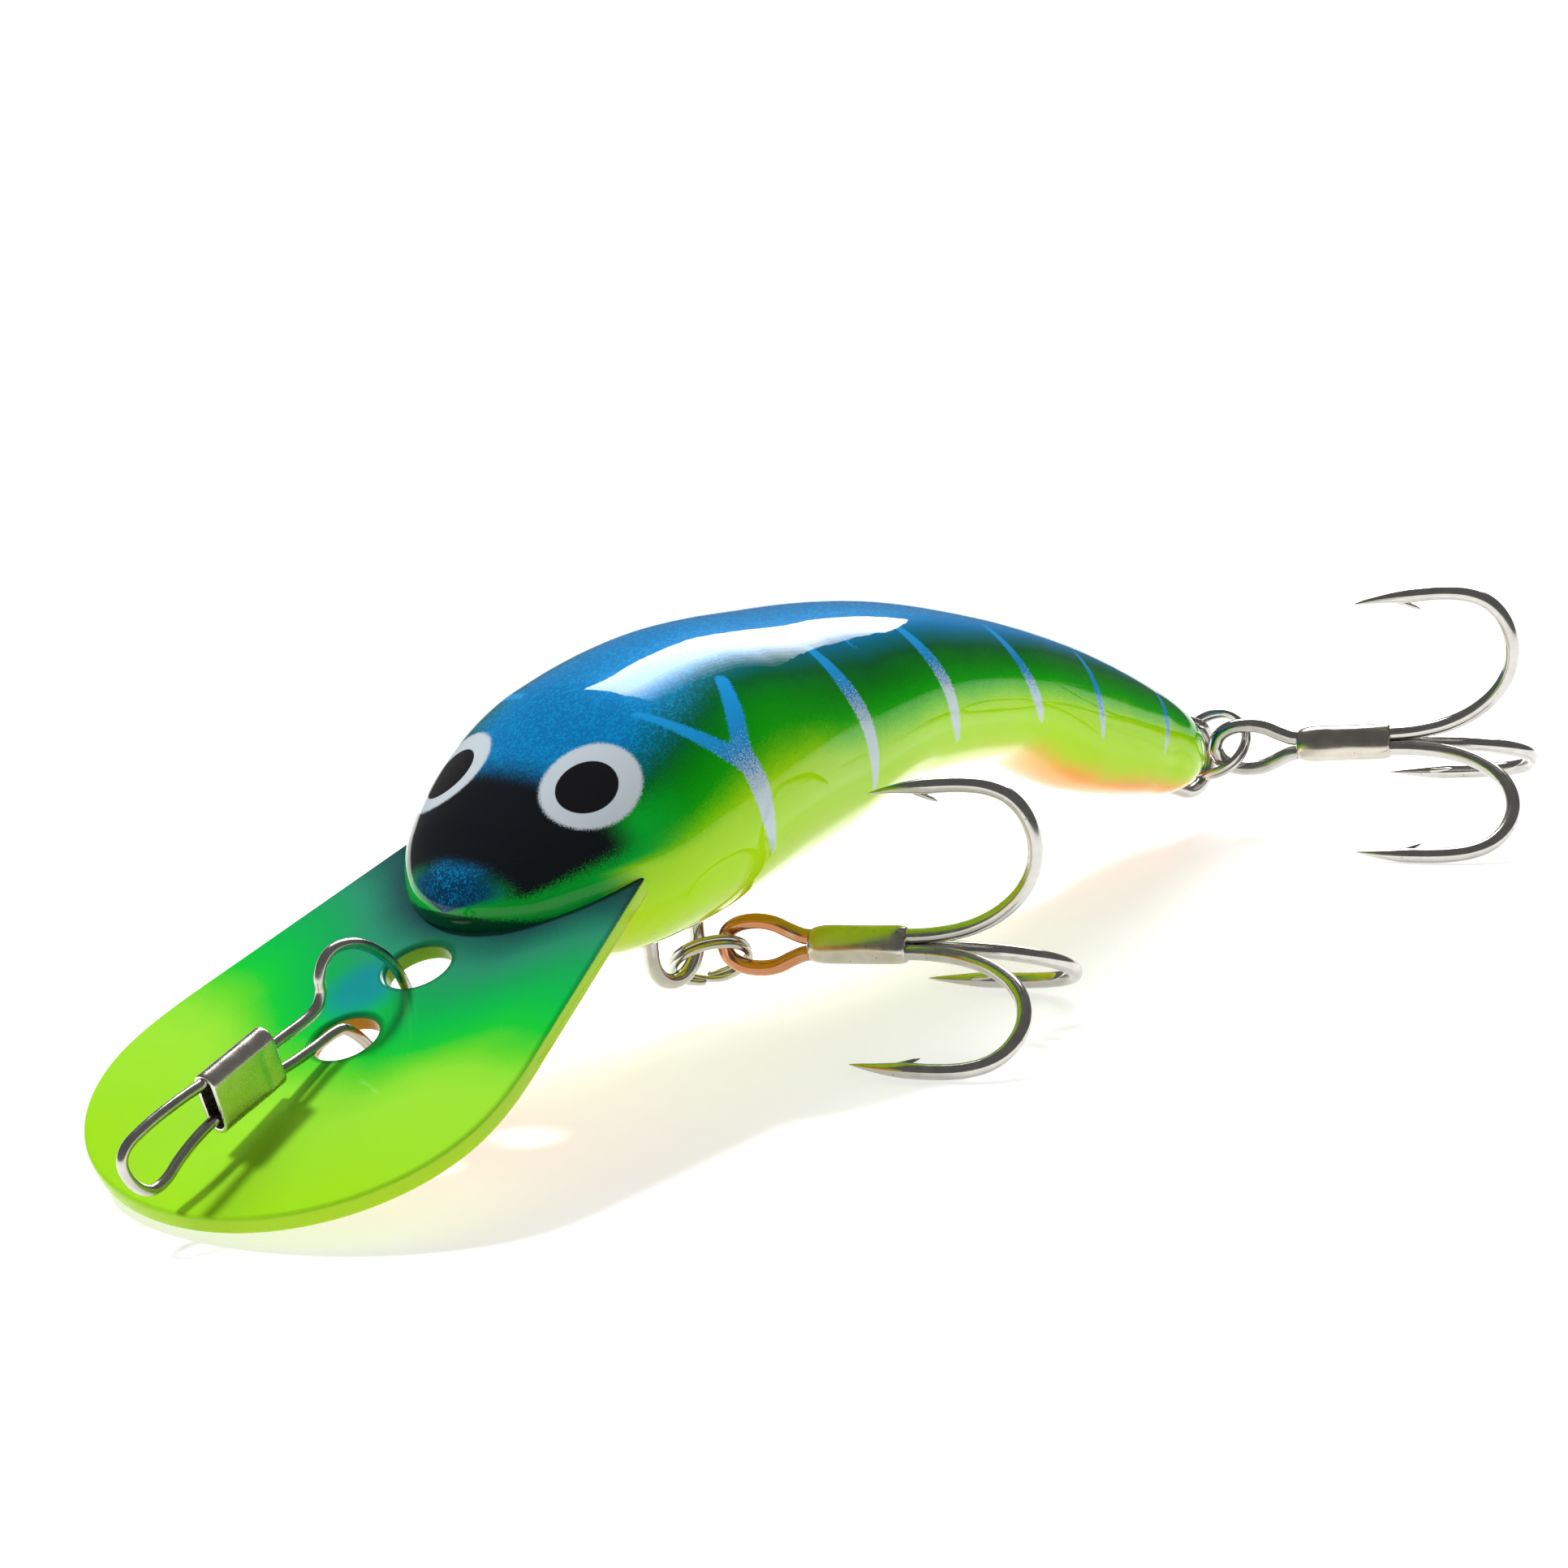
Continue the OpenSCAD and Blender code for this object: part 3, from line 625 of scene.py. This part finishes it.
def hook_arm(deg):
    h = crom(ARM + [[12.15, 2.2], [11.8, 0]], 8)
    n_pt = 12
    r = np.full(len(h), HOOK_R)
    tip = np.linspace(0, 1, 2 * 8 + 1)
    r[-len(tip):] = HOOK_R * np.clip(1 - tip ** 1.25, 0.03, 1) ** 0.9
    c, s = math.cos(math.radians(deg)), math.sin(math.radians(deg))
    path = np.column_stack([h[:, 0] * c, h[:, 0] * s, h[:, 1]])
    up = [-s, c, 0]
    parts = [tube(path, r, up, 22)]
    b = crom([[12.22, 2.7], [11.85, 3.7], [11.45, 4.7], [11.14, 5.35]], 4)
    br = np.interp(np.linspace(0, 1, len(b)), [0, .35, .75, 1], [.12, .25, .17, .02])
    parts.append(tube(np.column_stack([b[:, 0] * c, b[:, 0] * s, b[:, 1]]), br, up, 12, flat=0.8))
    return join(parts)


def eye_wire():
    h = crom(EYE_K, 6)
    left = np.column_stack([h[:, 0], np.zeros(len(h)), h[:, 1]])
    right = left[::-1][1:] * np.array([-1, 1, 1])
    p = np.concatenate([[[0.62, 0, -4.6]], left, right, [[-0.62, 0, -4.6]]])
    return tube(p, HOOK_R, [0, 1, 0], 22, flat=0.94)


def shank():
    zs = [SHANK_A, SHANK_A + 0.12, SHANK_A + 0.35, SHANK_A + 0.7, SHANK_A + 1.2] + list(np.linspace(SHANK_A + 1.8, SHANK_B - 1.2, 10)) + [SHANK_B - 0.6, SHANK_B - 0.25, SHANK_B - 0.08, SHANK_B]
    rr = [0.85, 1.12, 1.27, 1.37, 1.44] + [1.46] * 10 + [1.44, 1.37, 1.24, 1.0]
    n = 48
    v, f = [], []
    for z, r in zip(zs, rr):
        for j in range(n):
            a = 2 * math.pi * j / n
            lobes = 1 + 0.045 * math.cos(3 * a) * (1 + 0.25 * math.sin(1.3 * z))
            v.append((r * lobes * math.cos(a), r * lobes * math.sin(a), z))
    for i in range(len(zs) - 1):
        for j in range(n):
            k = (j + 1) % n
            f.append((i * n + j, i * n + k, (i + 1) * n + k, (i + 1) * n + j))
    f.append(tuple(range(n - 1, -1, -1)))
    f.append(tuple((len(zs) - 1) * n + j for j in range(n)))
    return np.array(v), f


def dome(centre, r, squash):
    v, f, n, m = [], [], 20, 8
    for i in range(m + 1):
        t = math.pi * (0.04 + 0.92 * i / m)
        for j in range(n):
            a = 2 * math.pi * j / n
            v.append((centre[0] + r * math.sin(t) * math.cos(a), centre[1] + r * math.sin(t) * math.sin(a), centre[2] + r * squash * math.cos(t)))
    for i in range(m):
        for j in range(n):
            k = (j + 1) % n
            f.append((i * n + j, (i + 1) * n + j, (i + 1) * n + k, i * n + k))
    f.append(tuple(range(n)))
    f.append(tuple(m * n + j for j in range(n - 1, -1, -1)))
    return np.array(v), f


def lay(az, el, roll):
    return rot_z(math.radians(az)) @ rot_y(math.radians(90 - el)) @ rot_z(math.radians(180 + roll))


def aim(az, el):
    return rot_z(math.radians(az)) @ rot_y(math.radians(90 - el))


def make(name, part, rotation, centre, mats, bodyname, slotname, *cad, mat_of=None):
    v, f = part
    ob = new_mesh(name, place(v, rotation, centre), f)
    for mt in mats:
        ob.data.materials.append(mt)
    if mat_of:
        ob.data.polygons.foreach_set("material_index", mat_of)
    ob.data.set_sharp_from_angle(angle=math.radians(50))
    if cad:
        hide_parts(*cad)
    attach(ob, bodyname)
    return ob


for where, centre, az, el, roll in (("belly", [43.48, -13.12, -3.67], -67.3, 1.2, 0), ("tail", [106.15, -12.37, -4.34], -62.5, 1.6, 2)):
    R = lay(az, el, roll)
    b = where + "_treble"
    p = [hook_arm(120), hook_arm(240), eye_wire(), shank(), dome((-0.35, 0, SHANK_B), 0.62, 0.35)]
    idx = []
    for k, q in enumerate(p):
        idx += [{3: 1, 4: 2}.get(k, 0)] * len(q[1])
    make(where + "_hook_pair", join(p), R, centre, [warm_nickel if where == "belly" else nickel, braze_metal, solder_metal], b, "nickel", b + "_double", mat_of=idx)
    make(where + "_hook_third", hook_arm(0), R, centre, [nickel], b, "nickel", b + "_single")


# -------------------------------------------------------------- split rings
def coil():
    n = 260
    t = np.linspace(0.02, 1.98, n)
    ax = np.where(t < 0.92, -0.28, np.where(t > 1.08, 0.28, 0.0))
    mid = (t >= 0.92) & (t <= 1.08)
    u = (t[mid] - 0.92) / 0.16
    ax[mid] = -0.28 + 0.56 * (3 * u * u - 2 * u ** 3)
    a = 2 * math.pi * t
    p = np.column_stack([2.93 * np.cos(a), 2.93 * np.sin(a), ax])
    return tube(p, 0.285, [0, 0, 1], 16, flat=0.93)


make("belly_split_coil", coil(), aim(53.4, 45.6), [38.05, -0.67, -5.15], [ring_metal], "belly_ring", "nickel", "belly_split_ring")
make("tail_split_coil", coil(), aim(185.7, 46.6), [101.04, -0.58, -4.62], [ring_metal], "tail_ring", "nickel", "tail_split_ring")

# ---------------------------------------------------------------- line link
LINK = [[-8.5, 4.6], [-7, 4.1], [-5.2, 3.85], [-2.6, 3.5], [-1.2, 3.6], [-0.4, 4.3], [0, 5.3], [0.9, 6.1], [2.2, 6.25],
        [3.8, 5.5], [5.1, 4.2], [6.1, 2.5], [6.6, 0.8], [6.7, -1], [6.5, -2.4], [5.6, -3.2], [4.2, -3.4], [2.8, -3.2],
        [1.8, -2.4], [1.3, -1.3], [0.8, -0.3], [0.1, 0.6], [-0.9, 0.95], [-2.4, 1.15], [-4.8, 1.55], [-6.2, 1.85], [-8.5, 2.2],
        [-11, 2.55], [-13.4, 2.85], [-15.4, 2.8], [-17.3, 2.5], [-18.8, 2.1], [-20.2, 2.25], [-21.2, 3.2], [-21.7, 4.6],
        [-21.6, 5.8], [-20.7, 6.5], [-19, 6.6], [-16.5, 6.4], [-13.6, 5.95], [-11.5, 5.45], [-10, 5.05]]
q = crom(LINK, 7)
make("link_bent_wire", tube(np.column_stack([q[:, 0], np.zeros(len(q)), q[:, 1]]), 0.42, [0, 1, 0], 20), rot_y(-TILT), [0, 0, 0],
     [link_metal], "line_link", "link_steel", "link_wire")


def sleeve():
    ln, hh, ww, wall, n = 6.4, 4.8, 2.0, 0.35, 72
    def ring(off):
        r, st = ww / 2 - off, (hh - ww) / 2
        out = []
        for j in range(n):
            a = 2 * math.pi * j / n
            out.append((r * math.cos(a), r * math.sin(a) + (st if math.sin(a) >= 0 else -st)))
        return out
    prof = [(-ln / 2 + 0.10, 0.0), (ln / 2 - 0.10, 0.0), (ln / 2 - 0.03, 0.03), (ln / 2, 0.10), (ln / 2, wall - 0.08), (ln / 2 - 0.05, wall), (-ln / 2 + 0.05, wall), (-ln / 2, wall - 0.08), (-ln / 2, 0.10), (-ln / 2 + 0.03, 0.03)]
    dense = []
    for k in range(24):
        dense.append((-ln / 2 + 0.10 + (ln - 0.20) * k / 24, 0.0))
    prof = dense + prof[1:]
    v, f = [], []
    for s, off in prof:
        for y, h in ring(off):
            # pinched a little in the middle of the flat faces, with one round dent on the left side
            y2 = y
            if off == 0.0:
                y2 = y * (1 - 0.05 * math.cos(math.pi * s / ln) * math.exp(-(h / 1.3) ** 2))
                if y < 0:
                    y2 += 0.22 * math.exp(-(((s - 1.9) ** 2 + (h + 1.35) ** 2) / 0.12))
            v.append((s, y2, h))
    c = len(prof)
    for i in range(c):
        k = (i + 1) % c
        for j in range(n):
            l = (j + 1) % n
            f.append((i * n + j, i * n + l, k * n + l, k * n + j))
    return np.array(v), f


R = rot_y(-TILT)
sl = make("link_crimped_sleeve", sleeve(), R @ rot_y(math.radians(5)), R @ np.array([-9.75, 0, 3.75]), [sleeve_metal], "line_link", "link_steel", "link_sleeve")

# ------------------------------------------------- CAD pieces kept as they are
for name, mat in (("belly_hanger", nickel), ("tail_hanger", nickel), ("ballast", plain_steel), ("rattle_ball_front", plain_steel), ("rattle_ball_rear", plain_steel)):
    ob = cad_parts[name]
    ob.data.materials.clear()
    ob.data.materials.append(mat)

# ------------------------------------------------------------------- studio
floor_me = bpy.data.meshes.new("floor")
floor_me.from_pydata([(-3, -3, 0), (3, -3, 0), (3, 3, 0), (-3, 3, 0)], [], [(0, 1, 2, 3)])
floor = bpy.data.objects.new("floor", floor_me)
bpy.context.scene.collection.objects.link(floor)
nrm = Vector((0.0154, -0.0165, 1)).normalized()
floor.rotation_mode = "QUATERNION"
floor.rotation_quaternion = Vector((0, 0, 1)).rotation_difference(nrm)
floor.location = (0.0011, 0, -0.0062)
fl = Nodes("pale_floor")
fl.link(fl.ramp(fl.noise(fl.obj(), 40.0, 3.0), [(0.3, (0.64, 0.64, 0.64)), (0.7, (0.67, 0.67, 0.67))]), fl.bsdf.inputs["Base Color"])
fl.bsdf.inputs["Roughness"].default_value = 0.9
fl.bsdf.inputs["Specular IOR Level"].default_value = 0.0
fl.bsdf.inputs["Emission Color"].default_value = (1, 1, 1, 1)
fl.bsdf.inputs["Emission Strength"].default_value = 0.62
floor_me.materials.append(fl.mat)

world = bpy.data.worlds.new("studio")
bpy.context.scene.world = world
world.use_nodes = True
world.node_tree.nodes["Background"].inputs["Color"].default_value = (1, 1, 1, 1)
world.node_tree.nodes["Background"].inputs["Strength"].default_value = 0.15

TARGET = Vector((0.062, 0.0, 0.012))


def area(name, direction, distance, w, h, power, x_axis=None, color=(1, 1, 1)):
    d = Vector(direction).normalized()
    li = bpy.data.lights.new(name, "AREA")
    li.shape = "RECTANGLE"
    li.size, li.size_y = w, h
    li.energy = power
    li.color = color
    ob = bpy.data.objects.new(name, li)
    bpy.context.scene.collection.objects.link(ob)
    z = d
    x = Vector(x_axis) if x_axis else Vector((0, 0, 1)).cross(z)
    x = (x - x.dot(z) * z).normalized()
    y = z.cross(x)
    mt = Matrix((x, y, z)).transposed().to_4x4()
    mt.translation = TARGET + d * distance
    ob.matrix_world = mt
    ob.visible_camera = False
    return ob


SB_DIR, SB_AXIS = Vector((0.60, 0.42, 0.56)).normalized(), Vector((0.70, -0.31, -0.38))
side_dir = SB_DIR.cross(SB_AXIS - SB_AXIS.dot(SB_DIR) * SB_DIR).normalized()
if side_dir.y > 0:
    side_dir = -side_dir
area("softbox", SB_DIR, 0.62, 0.50, 0.15, 2.9, x_axis=SB_AXIS)
# the lower edge of the softbox fades out over a few strips
for k, level in enumerate((0.78, 0.56, 0.38, 0.24, 0.13, 0.05)):
    st = area("softbox_edge_%d" % k, SB_DIR, 0.62, 0.50 - 0.02 * k, 0.022, 2.9 * 0.022 / 0.15 * level, x_axis=SB_AXIS)
    st.location = st.location + side_dir * (0.075 + 0.011 + 0.022 * k)
key = area("key", (-0.20, 0.46, 0.86), 0.90, 0.12, 0.12, 7.0)
key.visible_glossy = False
fill = area("fill", (0.10, -0.90, 0.50), 1.5, 2.2, 1.2, 5.0)
fill.visible_glossy = False

bpy.context.scene.view_settings.view_transform = "Standard"
